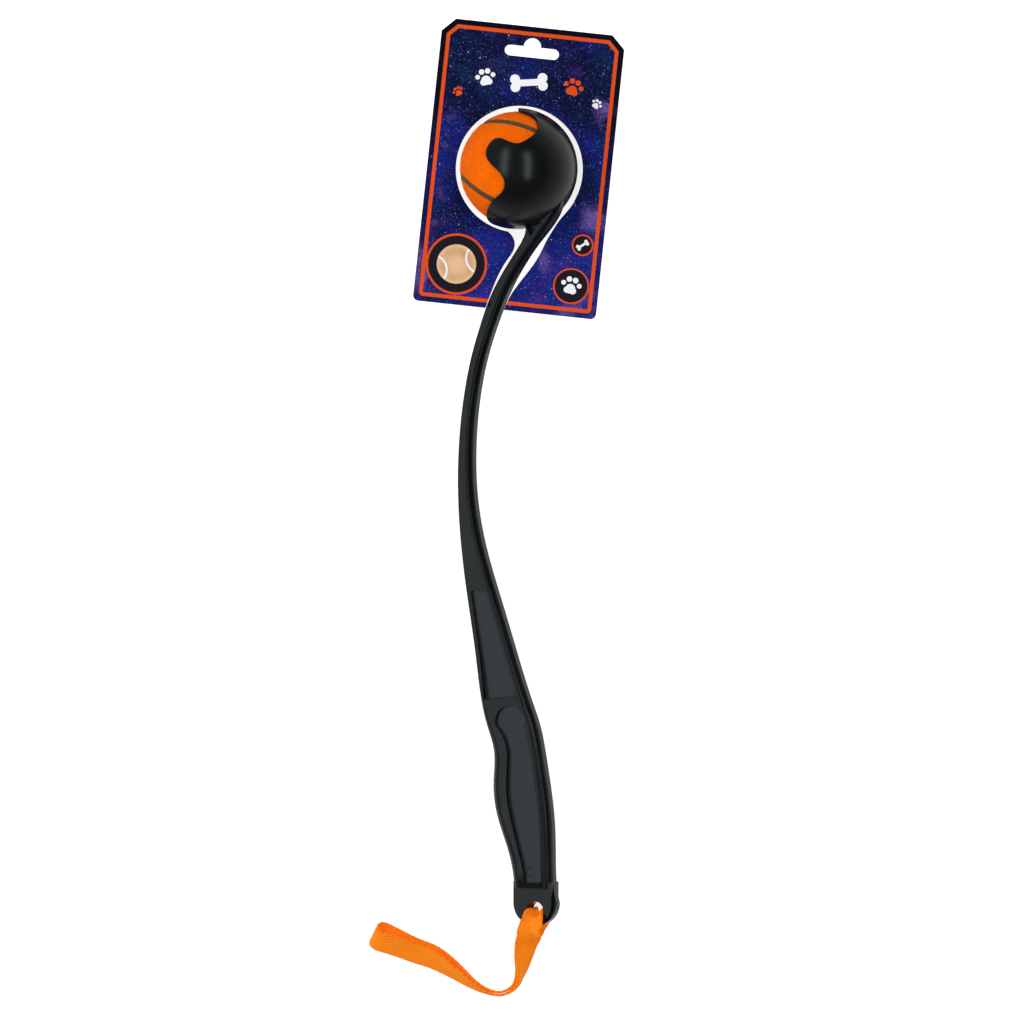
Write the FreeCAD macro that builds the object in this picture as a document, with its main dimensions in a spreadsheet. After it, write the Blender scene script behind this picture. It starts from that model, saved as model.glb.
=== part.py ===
import FreeCAD, Part
import math
import os

import Sketcher
from FreeCAD import Placement, Rotation, Vector

# Dog ball launcher: a cup on a bowed shaft with a moulded handle, the ball that it throws, a wrist
# strap looped through the handle's end, and the board hang card that the head sits in.
#
# The launcher is drawn flat, in its own frame: X towards the back edge, which lies in the palm,
# Y up the length with the ball's centre at 0, Z across, towards the side that shows. It is then
# laid down as it comes to rest on a table, on the ball, the belly of the shaft and the front of the
# handle. The finished part stands on z = 0 with its origin under the middle of its box.

NODES = []

SIZES = {
    # Ball: two rubber half shells, two felt panels and the seam between them
    "ball_diameter": 63.5,
    "felt_thickness": 2.6,
    "core_wall": 3.3,
    "seam_width": 1.8,
    "seam_sink": 0.6,
    "ball_turn_x": 80.2,
    "ball_turn_y": -42.7,
    "ball_turn_z": 73.7,
    # Cup
    "ball_clearance": 0.45,
    "cup_wall": 1.7,
    "mouth_lift": 10.5,
    "cup_split": 47.0,
    "handle_split": 232.5,
    # Web between the cup and the shaft, with a three-cornered pocket in each side
    "web_thick": 11.4,
    "web_core": 5.0,
    "web_proud": 0.3,
    "web_front_angle": 76.0,
    "web_back_angle": 43.0,
    # Rib along the back edge
    "rib_thick": 4.4,
    "rib_proud": 1.9,
    "rib_start_angle": 31.0,
    "rib_sink": 0.2,
    "rib_root_part": 0.45,
    # Hollows in the sides of the handle
    "hollow_floor": 4.4,
    "upper_start": 236.4,
    "upper_end": 297.4,
    "upper_slant": 2.8,
    "upper_bend_above": 12.0,
    "upper_bend_below": 8.0,
    "upper_front_land": 3.2,
    "upper_back_land": 3.6,
    "upper_corner": 1.6,
    "grip_floor": 6.2,
    "grip_start": 300.2,
    "grip_end": 399.0,
    "grip_front_land": 10.2,
    "grip_top_land": 7.0,
    "grip_foot_land": 8.8,
    "grip_back_land": 4.8,
    "grip_corner": 1.2,
    "mark_radius": 2.8,
    "mark_depth": 0.3,
    "mark_along": 393.0,
    "mark_inset": 12.0,
    # Tab at the end with the hole for the strap
    "tab_thick": 9.0,
    "tab_reach": 20.3,
    "tab_width": 23.8,
    "tab_rib_radius": 13.0,
    "tab_rib_shift": 0.9,
    "tab_rib_rise": 0.5,
    "strap_hole": 10.6,
    "hole_inset": 7.9,
    "hole_shift": 1.6,
    # Wrist strap
    "strap_width": 15.0,
    "strap_thick": 1.4,
    "strap_fold_width": 7.6,
    "strap_fold_thick": 3.4,
    "strap_drop": 1.2,
    "strap_tab_gap": 0.6,
    "strap_floor_gap": 0.12,
    # Hang card
    "card_width": 102.8,
    "card_height": 159.6,
    "card_board": 0.8,
    "card_turn": 6.1,
    "card_offset_x": 1.2,
    "card_offset_y": 0.6,
    "card_chamfer": 7.4,
    "card_corner": 3.0,
    "ring_radius": 35.5,
    "ring_shift": 1.3,
    "euro_length": 30.5,
    "euro_height": 6.0,
    "euro_bump": 9.7,
    "euro_bump_rise": 3.1,
    "euro_inset": 14.3,
    "card_seat_gap": 0.3,
    "card_floor_gap": 0.1,
}

# Cross-sections of the shaft and the handle from the cup down. Each has the step down from the one
# before it, the place of its front edge, its depth from front to back with the rib, its thickness
# across and the radius of its corners.
SECTIONS = [
    ("root", 30.0, 13.0, 9.2, 12.0, 1.2),
    ("neck", 10.0, 5.8, 8.9, 12.0, 1.2),
    ("throat", 17.0, -5.8, 8.0, 12.0, 1.2),
    ("swan", 16.0, -14.8, 8.2, 12.0, 1.2),
    ("fall", 14.5, -20.4, 7.8, 12.0, 1.2),
    ("dip", 14.0, -25.0, 7.4, 12.0, 1.2),
    ("rise", 28.0, -31.1, 7.1, 12.0, 1.2),
    ("bow", 28.0, -34.1, 7.6, 12.0, 1.2),
    ("belly", 28.0, -34.4, 9.0, 12.0, 1.2),
    ("spread", 28.0, -32.3, 12.5, 12.0, 1.2),
    ("swell", 28.0, -28.4, 17.7, 12.2, 1.3),
    ("wedge", 28.0, -23.7, 22.4, 13.6, 1.8),
    ("shoulder", 28.0, -19.7, 28.2, 15.4, 3.0),
    ("ridge", 14.0, -16.4, 30.1, 16.4, 4.2),
    ("knuckle", 14.0, -12.3, 29.2, 17.0, 5.2),
    ("palm", 18.0, -12.6, 32.6, 17.5, 5.7),
    ("waist", 20.0, -9.9, 32.5, 17.5, 5.8),
    ("heel", 18.0, -3.6, 26.9, 16.9, 5.8),
    ("end", 16.0, -0.1, 23.8, 15.6, 5.0),
    ("lip", 5.0, 0.1, 23.6, 13.0, 3.8),
]
SHAFT_END = "swell"

# Rim of the cup, half of it, as angles in degrees: the turn about the mouth's axis from the top
# finger, and the spread away from the axis. A finger at the top, a lobe on each side and a lip
# below hold the ball just past its widest circle, with deep notches between them.
RIM = [
    (0.0, 81.2), (3.5, 82.5), (9.6, 93.4), (12.0, 104.8), (19.0, 113.0), (33.3, 118.5),
    (47.0, 115.5), (56.6, 108.5), (57.6, 99.5), (56.6, 91.3), (58.3, 86.0), (63.8, 82.4),
    (74.0, 81.6), (81.6, 87.5), (89.4, 100.0), (97.3, 106.0), (107.3, 105.0), (117.6, 96.3),
    (127.7, 89.3), (141.0, 84.0), (150.0, 81.6), (165.0, 81.2), (180.0, 81.0),
]

# Corners of the three-cornered pocket in the web, from the front edge's line and down from the ball
WEB_POCKET = [(11.5, 37.3), (6.9, 29.0), (22.2, 22.0)]

# One leg of the wrist strap from the edge of the hole down to the table: the distance out from the
# tab's side, down from the hole and to the front, and the width and thickness of the webbing, which
# is folded narrow in the hole and opens out below it
STRAP_NEAR_HOLE = [
    (0.9, 1.0, 0.0, 8.6, 3.0),
    (1.3, 3.1, 0.0, 10.5, 2.4),
    (1.1, 5.4, 0.4, 12.0, 2.0),
    (1.0, 8.0, 1.0, 13.5, 1.6),
]

# Way of the wrist strap over the table, from the hole out: the place seen from above, from the
# hole's centre, the lean of its upper face to the outside of the curve in degrees, and the distance
# between its two legs.
STRAP_LAY = [
    (-2.8, -13.4, 5.0, 9.0),
    (-4.8, -19.5, 38.0, 4.6),
    (-6.6, -26.5, 57.0, 2.4),
    (-8.0, -33.5, 71.0, 1.7),
    (-9.3, -38.0, 80.0, 1.7),
    (-11.8, -42.3, 86.0, 1.7),
    (-15.8, -45.4, 88.0, 1.7),
    (-21.8, -46.8, 89.0, 1.7),
    (-29.0, -45.3, 86.0, 1.7),
    (-36.5, -41.5, 78.0, 1.8),
    (-43.7, -36.2, 68.0, 2.6),
    (-49.9, -31.7, 60.0, 3.5),
    (-55.7, -28.0, 51.0, 3.8),
    (-61.1, -25.3, 46.0, 4.1),
    (-68.3, -22.8, 41.0, 4.0),
    (-74.5, -20.3, 42.0, 4.8),
    (-80.5, -17.9, 42.0, 6.4),
    (-86.3, -15.6, 42.0, 7.6),
]

# Sides of the card's slot above the neck, seen from above, from the ball's centre
CARD_SLOT_LEFT = [
    (-9.5, -32.1), (-6.1, -34.1), (-3.1, -36.9), (-1.3, -41.2), (-1.7, -44.8), (-5.2, -50.5),
]
CARD_SLOT_RIGHT = [
    (10.1, -52.2), (13.4, -46.5), (15.4, -42.2), (19.4, -35.2), (24.2, -28.1), (28.5, -23.1),
    (32.2, -18.0),
]

doc = FreeCAD.newDocument("launcher")
sheet = doc.addObject("Spreadsheet::Sheet", "sizes")


def enter(row, name, value):
    sheet.set(f"A{row}", name)
    sheet.set(f"B{row}", str(value))
    sheet.setAlias(f"B{row}", name)


row = 1
for name, value in SIZES.items():
    enter(row, name, value)
    row += 1
for name, step, front, depth, thick, corner in SECTIONS:
    for field, value in (("step", step), ("front", front), ("depth", depth),
                         ("thick", thick), ("corner", corner)):
        enter(row, f"{name}_{field}", value)
        row += 1
doc.recompute()


def size(name):
    return float(sheet.get(name))


def solid_feature(name, shape):
    feature = doc.addObject("Part::Feature", name)
    feature.Label = name
    feature.Shape = shape
    return feature


# Sizes worked out from the sheet
ball_radius = size("ball_diameter") / 2
cup_inner = ball_radius + size("ball_clearance")
cup_outer = cup_inner + size("cup_wall")
BIG = 8 * cup_outer


class Section:
    def __init__(self, name, along):
        self.name = name
        self.along = along
        self.front = size(f"{name}_front")
        self.depth = size(f"{name}_depth")
        self.thick = size(f"{name}_thick")
        self.corner = size(f"{name}_corner")

    @property
    def back(self):
        return self.front + self.depth


sections = []
reach = 0.0
for entry in SECTIONS:
    reach += size(f"{entry[0]}_step")
    sections.append(Section(entry[0], reach))
by_name = {section.name: section for section in sections}


def between(field, along):
    """A section's measure at any place along the length, on a smooth curve through the sections."""
    places = [section.along for section in sections]
    values = [getattr(section, field) for section in sections]
    low = max(i for i in range(len(places) - 1) if places[i] <= along or i == 0)
    span = places[low + 1] - places[low]

    def slope(i):
        if i in (0, len(places) - 1):
            return (values[low + 1] - values[low]) / span
        return (values[i + 1] - values[i - 1]) / (places[i + 1] - places[i - 1])

    part = (along - places[low]) / span
    rise = values[low + 1] - values[low]
    a = slope(low) * span
    b = slope(low + 1) * span
    return values[low] + part * (a + part * ((3 * rise - 2 * a - b) + part * (a + b - 2 * rise)))


# How the launcher lies

def polar(radius, degrees):
    """A point of the flat drawing at an angle below the line from the ball towards the back."""
    angle = math.radians(degrees)
    return Vector(radius * math.cos(angle), -radius * math.sin(angle), 0)


def pitch_to_touch(section, roll):
    """Pitch at which a section's lower front corner comes down to the floor that the ball is on."""
    corner = section.corner
    height = ((section.front + corner) * math.sin(roll)
              - (section.thick / 2 - corner) * math.cos(roll))
    far = math.hypot(section.along, height)
    return math.atan2(height, section.along) + math.asin((ball_radius - corner) / far)


def lying_angles():
    """Roll and pitch at which the belly of the shaft and the handle touch the floor together."""
    split = by_name[SHAFT_END].along
    shaft = [section for section in sections if by_name["dip"].along < section.along <= split]
    grip = [section for section in sections if section.along > split]
    low = math.radians(5)
    high = math.radians(60)
    for _ in range(50):
        roll = (low + high) / 2
        shaft_pitch = min(pitch_to_touch(section, roll) for section in shaft)
        grip_pitch = min(pitch_to_touch(section, roll) for section in grip)
        if shaft_pitch > grip_pitch:
            low = roll
        else:
            high = roll
    return roll, min(shaft_pitch, grip_pitch)


roll, pitch = lying_angles()
ball_centre = Vector(0, 0, ball_radius)
lying = Placement(ball_centre, Rotation(Vector(1, 0, 0), math.degrees(pitch))
                  * Rotation(Vector(0, 1, 0), -math.degrees(roll)))
print("roll", round(math.degrees(roll), 2), "pitch", round(math.degrees(pitch), 2))

# Ball

core_outer = ball_radius - size("felt_thickness")
core_inner = core_outer - size("core_wall")
ball_placement = Placement(ball_centre, Rotation(Vector(0, 0, 1), size("ball_turn_z"))
                           * Rotation(Vector(0, 1, 0), size("ball_turn_y"))
                           * Rotation(Vector(1, 0, 0), size("ball_turn_x")))


def core_half(name, low, high):
    skin = doc.addObject("Part::Sphere", f"{name}_skin")
    hollow = doc.addObject("Part::Sphere", f"{name}_hollow")
    skin.setExpression("Radius", "sizes.ball_diameter / 2 - sizes.felt_thickness")
    hollow.setExpression("Radius", "sizes.ball_diameter / 2 - sizes.felt_thickness - sizes.core_wall")
    for ball in (skin, hollow):
        ball.Angle1 = low
        ball.Angle2 = high
    half = doc.addObject("Part::Cut", name)
    half.Label = name
    half.Base = skin
    half.Tool = hollow
    half.Placement = ball_placement
    NODES.append(half)


core_half("core_half_a", 0, 90)
core_half("core_half_b", -90, 0)

SEAM_POINTS = 24
SEAM_LONG = 0.75
SEAM_SHORT = 0.25
SEAM_KNIFE = (0.8, 1.2)


def seam_direction(turn):
    """Direction from the ball's centre to its seam, which goes once round it in four bends."""
    height = 2 * math.sqrt(SEAM_LONG * SEAM_SHORT)
    return Vector(SEAM_LONG * math.cos(turn) + SEAM_SHORT * math.cos(3 * turn),
                  SEAM_LONG * math.sin(turn) - SEAM_SHORT * math.sin(3 * turn),
                  height * math.sin(2 * turn)).normalize()


def closed_curve(directions, radius):
    curve = Part.BSplineCurve()
    curve.interpolate([direction * radius for direction in directions], PeriodicFlag=True)
    return curve.toShape()


def radial_face(directions, inner, outer):
    """The surface that a ray from the centre draws as it follows a closed run of directions."""
    return Part.makeRuledSurface(closed_curve(directions, inner), closed_curve(directions, outer))


def seam_side(sign):
    half = size("seam_width") / 2 / ball_radius
    directions = []
    for index in range(SEAM_POINTS):
        turn = 2 * math.pi * index / SEAM_POINTS
        middle = seam_direction(turn)
        ahead = seam_direction(turn + 0.001) - seam_direction(turn - 0.001)
        aside = middle.cross(ahead).normalize()
        directions.append(middle * math.cos(half) + aside * (sign * math.sin(half)))
    return radial_face(directions, core_outer * SEAM_KNIFE[0], ball_radius * SEAM_KNIFE[1])


def seam_cut(radius):
    """The felt layer up to a radius, cut along both edges of the seam, the seam itself first."""
    layer = Part.makeSphere(radius).cut(Part.makeSphere(core_outer))
    pieces, _ = layer.generalFuse([seam_side(-1), seam_side(1)])
    return sorted(pieces.Solids, key=lambda piece: piece.Volume)


panels = seam_cut(ball_radius)
seam = seam_cut(ball_radius - size("seam_sink"))[0]
for name, shape in (("felt_panel_a", panels[-1]), ("felt_panel_b", panels[-2]),
                    ("ball_seam", seam)):
    feature = solid_feature(name, shape)
    feature.Placement = ball_placement
    NODES.append(feature)

# Shaft and handle, lofted through rounded sections


CORNER_FACES = 4


def rounded_section(section):
    """Sketch across the launcher: the front plate's rounded outline, without the rib."""
    sketch = doc.addObject("Sketcher::SketchObject", f"across_{section.name}")
    sketch.Placement = Placement(Vector(0, -section.along, 0), Rotation(Vector(1, 0, 0), 90))
    left = section.front
    right = section.back - size("rib_proud")
    half = section.thick / 2
    corner = section.corner
    centres = [(right - corner, corner - half), (right - corner, half - corner),
               (left + corner, half - corner), (left + corner, corner - half)]
    step = 90 / CORNER_FACES
    side = CORNER_FACES + 1
    points = []
    for index, (x, y) in enumerate(centres):
        for part in range(CORNER_FACES + 1):
            turn = math.radians(90 * (index - 1) + step * part)
            points.append(Vector(x + corner * math.cos(turn), y + corner * math.sin(turn), 0))
    count = len(points)
    for index, start in enumerate(points):
        sketch.addGeometry(Part.LineSegment(start, points[(index + 1) % count]), False)
    for index in range(count):
        sketch.addConstraint(Sketcher.Constraint("Coincident", index, 2, (index + 1) % count, 1))
        quarter, part = divmod(index, side)
        turn = 90 * (quarter + 1) if part == CORNER_FACES else 90 * quarter + step * (part + 0.5)
        if index != 3 * side - 1:
            heading = math.remainder(math.radians(turn), math.tau)
            sketch.addConstraint(Sketcher.Constraint("Angle", index, heading))
        if index and part < CORNER_FACES:
            sketch.addConstraint(Sketcher.Constraint("Equal", 0, index))
    top = 2 * side
    front = 3 * side
    sketch.addConstraint(Sketcher.Constraint("Symmetric", count - 1, 1, 2 * side - 1, 2, -1))
    chord = 2 * corner * math.sin(math.radians(step / 2))
    drive = [
        (Sketcher.Constraint("Distance", 0, 1, 0, 2, chord), "round",
         f"2 * sizes.{section.name}_corner * sin({step / 2} deg)"),
        (Sketcher.Constraint("DistanceX", front, 1, left), "front",
         f"sizes.{section.name}_front"),
        (Sketcher.Constraint("DistanceX", front, 1, side, 1, right - left), "deep",
         f"sizes.{section.name}_depth - sizes.rib_proud"),
        (Sketcher.Constraint("DistanceY", 0, 1, top, 1, 2 * half), "thick",
         f"sizes.{section.name}_thick"),
    ]
    for constraint, word, expression in drive:
        number = sketch.addConstraint(constraint)
        sketch.renameConstraint(number, word)
        sketch.setExpression(f".Constraints.{word}", expression)
    return sketch


plate = doc.addObject("Part::Loft", "front_plate")
plate.Sections = [rounded_section(section) for section in sections]
plate.Solid = True
plate.Ruled = False
doc.recompute()


# Moulding: cup, web, plate, rib and tab in one, then cut where the nodes part


def place(x, along):
    """A point of the flat drawing from its distance along the length."""
    return Vector(x, -along, 0)


def smooth(points):
    curve = Part.BSplineCurve()
    curve.interpolate(points)
    return curve.toShape()


def flat_solid(edges, low, high):
    """A closed outline of the flat drawing made solid between two heights across."""
    face = Part.Face(Part.Wire(edges))
    face.translate(Vector(0, 0, low))
    return face.extrude(Vector(0, 0, high - low))


def straight_run(points, closed=False):
    ends = points[1:] + points[:1] if closed else points[1:]
    return [Part.makeLine(start, end) for start, end in zip(points, ends)]


def arc(start, middle, end):
    return Part.Arc(start, middle, end).toShape()


def rim_direction(turn_degrees, spread_degrees):
    """The direction that a turn about the mouth's axis and a spread from it give."""
    lift = math.radians(size("mouth_lift"))
    turn = math.radians(turn_degrees)
    spread = math.radians(spread_degrees)
    axis = Vector(-math.cos(lift), math.sin(lift), 0)
    top = Vector(math.sin(lift), math.cos(lift), 0)
    around = top * math.cos(turn) + Vector(0, 0, 1) * math.sin(turn)
    return axis * math.cos(spread) + around * math.sin(spread)


# Cup: a thin shell round the ball, cut along its notched rim
RIM_KNIFE = (0.6, 1.3)
rim = RIM + [(360 - turn, spread) for turn, spread in reversed(RIM[1:-1])]
rim_knife = radial_face([rim_direction(*angles) for angles in rim],
                        cup_inner * RIM_KNIFE[0], cup_outer * RIM_KNIFE[1])
shell = Part.makeSphere(cup_outer).cut(Part.makeSphere(cup_inner))
parted, _ = shell.generalFuse([rim_knife])
wall_middle = cup_inner + size("cup_wall") / 2
back_of_cup = Vector(wall_middle, 0, 0)
cup_shell = next(piece for piece in parted.Solids if piece.isInside(back_of_cup, 0.01, True))

# Web, which spreads from the neck up to the cup
WEB_FRONT_BOW = Vector(0.5, -0.3, 0)
neck = by_name["neck"]
front_angle = size("web_front_angle")
back_angle = size("web_back_angle")
web_half = size("web_thick") / 2
neck_back = place(neck.back - size("rib_proud"), neck.along)
neck_front = place(neck.front, neck.along)
web_front = polar(cup_outer + size("web_proud"), front_angle)
web_back = polar(cup_outer + size("web_proud"), back_angle)
cup_line = arc(polar(wall_middle, front_angle), polar(wall_middle, (front_angle + back_angle) / 2),
               polar(wall_middle, back_angle))
web = flat_solid([
    Part.makeLine(neck_back, neck_front),
    arc(neck_front, (neck_front + web_front) / 2 + WEB_FRONT_BOW, web_front),
    Part.makeLine(web_front, polar(wall_middle, front_angle)),
    cup_line,
    Part.makeLine(polar(wall_middle, back_angle), web_back),
    Part.makeLine(web_back, neck_back),
], -web_half, web_half)

# Tab at the end
last = sections[-1]
tab_radius = size("tab_width") / 2
tab_half = size("tab_thick") / 2
tab_end = last.along + size("tab_reach")
tab_centre = place((last.front + last.back) / 2, tab_end - tab_radius)
tab_side = Vector(tab_radius, 0, 0)
tab_top = Vector(0, tab_end - tab_radius - last.along + last.corner, 0)
tab = flat_solid([
    Part.makeLine(tab_centre - tab_side, tab_centre - tab_side + tab_top),
    Part.makeLine(tab_centre - tab_side + tab_top, tab_centre + tab_side + tab_top),
    Part.makeLine(tab_centre + tab_side + tab_top, tab_centre + tab_side),
    arc(tab_centre + tab_side, tab_centre - Vector(0, tab_radius, 0), tab_centre - tab_side),
], -tab_half, tab_half)
hole_centre = place((last.front + last.back) / 2 + size("hole_shift"), tab_end - size("hole_inset"))

# Rib, from the back of the cup down the whole back edge and round the tab
rib_half = size("rib_thick") / 2
rib_radius = size("tab_rib_radius")
rib_centre = tab_centre + Vector(size("tab_rib_shift"), size("tab_rib_rise"), 0)
rib_angle = size("rib_start_angle")
rib_meets_tab = 180 - math.degrees(math.atan2(size("tab_rib_rise"), size("tab_rib_shift")))


def on_rib_ring(degrees):
    angle = math.radians(degrees)
    return rib_centre + Vector(math.cos(angle), -math.sin(angle), 0) * rib_radius


ribbed = sections[1:-1]
RIB_RISE_ANGLE = 41.0
rib_outside = [polar(cup_outer - size("rib_sink"), rib_angle),
               polar(cup_outer + size("rib_proud"), RIB_RISE_ANGLE)]
rib_outside += [place(section.back, section.along) for section in ribbed]
rib_outside.append(on_rib_ring(0))
rib_inside = [place(section.front + section.depth * size("rib_root_part"), section.along)
              for section in reversed(ribbed)]
rib = flat_solid([
    smooth(rib_outside),
    arc(on_rib_ring(0), on_rib_ring(rib_meets_tab / 2), on_rib_ring(rib_meets_tab)),
    Part.makeLine(on_rib_ring(rib_meets_tab), tab_centre),
    Part.makeLine(tab_centre, rib_inside[0]),
    smooth(rib_inside),
    Part.makeLine(rib_inside[-1], polar(wall_middle, rib_angle)),
    Part.makeLine(polar(wall_middle, rib_angle), rib_outside[0]),
], -rib_half, rib_half)

for name, shape in (("cup_shell", cup_shell), ("web", web), ("rib", rib), ("tab", tab)):
    solid_feature(name, shape)
joined = doc.addObject("Part::MultiFuse", "joined")
joined.Shapes = [doc.getObject(name) for name in ("front_plate", "cup_shell", "web", "rib", "tab")]

# Hollows, pockets and the strap's hole
cutters = []
CLEAR = 15.0


def hollow_both_sides(name, edges, floor, corner):
    """Sink an outline into both sides of the moulding down to a floor, with rounded corners."""
    for side, low, high in (("near", floor, CLEAR), ("far", -CLEAR, -floor)):
        solid = flat_solid(edges, low, high)
        if corner:
            upright = [edge for edge in solid.Edges
                       if abs(abs(edge.tangentAt(edge.FirstParameter).z) - 1) < 1e-6]
            solid = solid.makeFillet(corner, upright)
        cutters.append(solid_feature(f"{name}_{side}", solid))


def hollow_edges(along_places, front_lands, back_land, foot_slant):
    """Outline of a hollow that keeps its distance from the front and the back edge."""
    front_side = [place(between("front", along) + land, along)
                  for along, land in zip(along_places, front_lands)]
    back_side = [place(between("back", along) - back_land, along) for along in along_places]
    front_side[-1] += Vector(0, -foot_slant, 0)
    return front_side, back_side


wedge = by_name["wedge"]
upper_places = [size("upper_start"), wedge.along - size("upper_bend_above"),
                wedge.along + size("upper_bend_below"), size("upper_end") - size("upper_slant")]
left, right = hollow_edges(upper_places, [size("upper_front_land")] * 4, size("upper_back_land"),
                           size("upper_slant"))
hollow_both_sides("upper_hollow", [
    smooth(left), Part.makeLine(left[-1], right[-1]), smooth(right[::-1]),
    Part.makeLine(right[0], left[0]),
], size("hollow_floor"), size("upper_corner"))

grip_names = ["ridge", "knuckle", "palm", "waist", "heel"]
grip_places = [by_name[name].along for name in grip_names] + [size("grip_end")]
grip_lands = ([size("grip_top_land")] + [size("grip_front_land")] * 3
              + [size("grip_foot_land")] * 2)
left, right = hollow_edges(grip_places, grip_lands, size("grip_back_land"), 0)
crown = (left[0] + right[0]) / 2
crown.y = -size("grip_start")
grip_hollow = [
    smooth(left), Part.makeLine(left[-1], right[-1]), smooth(right[::-1]),
    arc(right[0], crown, left[0]),
]
hollow_both_sides("grip_hollow", grip_hollow, size("grip_floor"), size("grip_corner"))

pocket_bounds = flat_solid(straight_run([place(*corner) for corner in WEB_POCKET], closed=True),
                           -CLEAR, CLEAR)
pocket_bounds = pocket_bounds.cut(Part.makeSphere(cup_outer))
web_core = Part.makeBox(BIG, BIG, size("web_core"),
                        Vector(-BIG / 2, -BIG / 2, -size("web_core") / 2))
pocket_pair = pocket_bounds.cut(web_core)
for side, pocket in zip(("far", "near"), sorted(pocket_pair.Solids,
                                                key=lambda piece: piece.CenterOfMass.z)):
    cutters.append(solid_feature(f"web_pocket_{side}", pocket))

strap_hole = doc.addObject("Part::Cylinder", "strap_hole_cutter")
strap_hole.setExpression("Radius", "sizes.strap_hole / 2")
strap_hole.Height = 2 * CLEAR
strap_hole.Placement = Placement(hole_centre - Vector(0, 0, CLEAR), Rotation())
gate_mark = doc.addObject("Part::Cylinder", "gate_mark")
gate_mark.setExpression("Radius", "sizes.mark_radius")
gate_mark.Height = CLEAR
gate_mark.Placement = Placement(place(size("mark_inset"), size("mark_along"))
                                + Vector(0, 0, size("grip_floor") - size("mark_depth")),
                                Rotation())
cutters += [strap_hole, gate_mark]
openings = doc.addObject("Part::MultiFuse", "openings")
openings.Shapes = cutters
moulding = doc.addObject("Part::Cut", "moulding")
moulding.Base = joined
moulding.Tool = openings

ZONES = [
    ("cup", "-sizes.cup_split", "2 * sizes.cup_split"),
    ("shaft", "-sizes.handle_split", "sizes.handle_split - sizes.cup_split"),
    ("handle", f"-sizes.handle_split - {BIG}", f"{BIG}"),
]
for name, low, length in ZONES:
    zone = doc.addObject("Part::Box", f"{name}_zone")
    zone.Length = BIG
    zone.Height = BIG
    zone.setExpression("Width", length)
    zone.Placement = Placement(Vector(-BIG / 2, 0, -BIG / 2), Rotation())
    zone.setExpression(".Placement.Base.y", low)
    piece = doc.addObject("Part::Common", name)
    piece.Label = name
    piece.Base = moulding
    piece.Tool = zone
    piece.Placement = lying
    NODES.append(piece)
doc.recompute()

# Wrist strap: a closed loop of webbing, folded narrow through the tab's hole, then laid on the table

hole_above = lying.multVec(hole_centre)
UP = Vector(0, 0, 1)


def turned(vector):
    return lying.Rotation.multVec(vector)


def strap_section(centre, wide, outward, width, thick):
    """Rectangle across the webbing."""
    side = Vector(wide).normalize() * (width / 2)
    out = Vector(outward).normalize() * (thick / 2)
    return [centre + side + out, centre - side + out, centre - side - out, centre + side - out]


def strap_stations():
    """Middle of the loop over the table: place, heading, outward lean and gap of each station."""
    places = []
    for dx, dy, lean, gap in STRAP_LAY:
        angle = math.radians(lean)
        rise = (size("strap_width") / 2 * abs(math.sin(angle))
                + (gap + size("strap_thick")) / 2 * math.cos(angle) + size("strap_floor_gap"))
        places.append(Vector(hole_above.x + dx, hole_above.y + dy, rise))
    stations = []
    for index, (dx, dy, lean, gap) in enumerate(STRAP_LAY):
        after = places[min(index + 1, len(places) - 1)]
        heading = (after - places[max(index - 1, 0)]).normalize()
        flat = Vector(-heading.y, heading.x, 0).normalize()
        angle = math.radians(lean)
        face = UP * math.cos(angle) + flat * math.sin(angle)
        face = (face - heading * face.dot(heading)).normalize()
        stations.append((places[index], heading, face, gap))
    return stations


def strap_leg(side):
    """Sections of one leg, from the middle of the hole to the middle of the far fold."""
    across = Vector(0, 0, side)
    along = Vector(0, 1, 0)
    aside = Vector(1, 0, 0)
    wide = turned(aside)
    fold_width = size("strap_fold_width")
    fold_thick = size("strap_fold_thick")
    middle = hole_centre - along * size("strap_drop")
    out = tab_half + size("strap_tab_gap")
    near_hole = [
        (middle, along, fold_width, fold_thick),
        (middle + across * tab_half, along, fold_width, fold_thick),
    ]
    facing = along + across
    for apart, down, to_front, width, thick in STRAP_NEAR_HOLE:
        centre = middle + across * (out + apart) - along * down - aside * to_front
        near_hole.append((centre, facing, width, thick))
        facing = across
    sections = [strap_section(lying.multVec(centre), wide, turned(outward), width, thick)
                for centre, outward, width, thick in near_hole]
    stations = strap_stations()
    for centre, heading, face, gap in stations:
        sections.append(strap_section(centre + face * (side * gap / 2), face.cross(heading),
                                      face * side, size("strap_width"), size("strap_thick")))
    centre, heading, face, gap = stations[-1]
    for turn in (30, 60, 90):
        angle = math.radians(turn)
        outward = heading * math.sin(angle) + face * (side * math.cos(angle))
        sections.append(strap_section(centre + outward * (gap / 2), face.cross(heading), outward,
                                      size("strap_width"), size("strap_thick")))
    return sections


loop = strap_leg(1) + strap_leg(-1)[-2:0:-1]
strap_faces = []
for start, end in zip(loop, loop[1:] + loop[:1]):
    for corner in range(4):
        edge = start[corner - 1], start[corner], end[corner], end[corner - 1]
        for triangle in (edge[:3], (edge[0],) + edge[2:]):
            strap_faces.append(Part.Face(Part.makePolygon(triangle + triangle[:1])))
webbing = Part.makeShell(strap_faces)
webbing.sewShape()
strap = Part.makeSolid(webbing)
if strap.Volume < 0:
    strap.reverse()
feature = solid_feature("wrist_strap", strap)
NODES.append(feature)

# Hang card: a board with a ring for the cup and a slot for the neck, leaning on the shaft


def disc(centre, radius):
    return Part.Face(Part.Wire(Part.makeCircle(radius, centre)))


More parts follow.
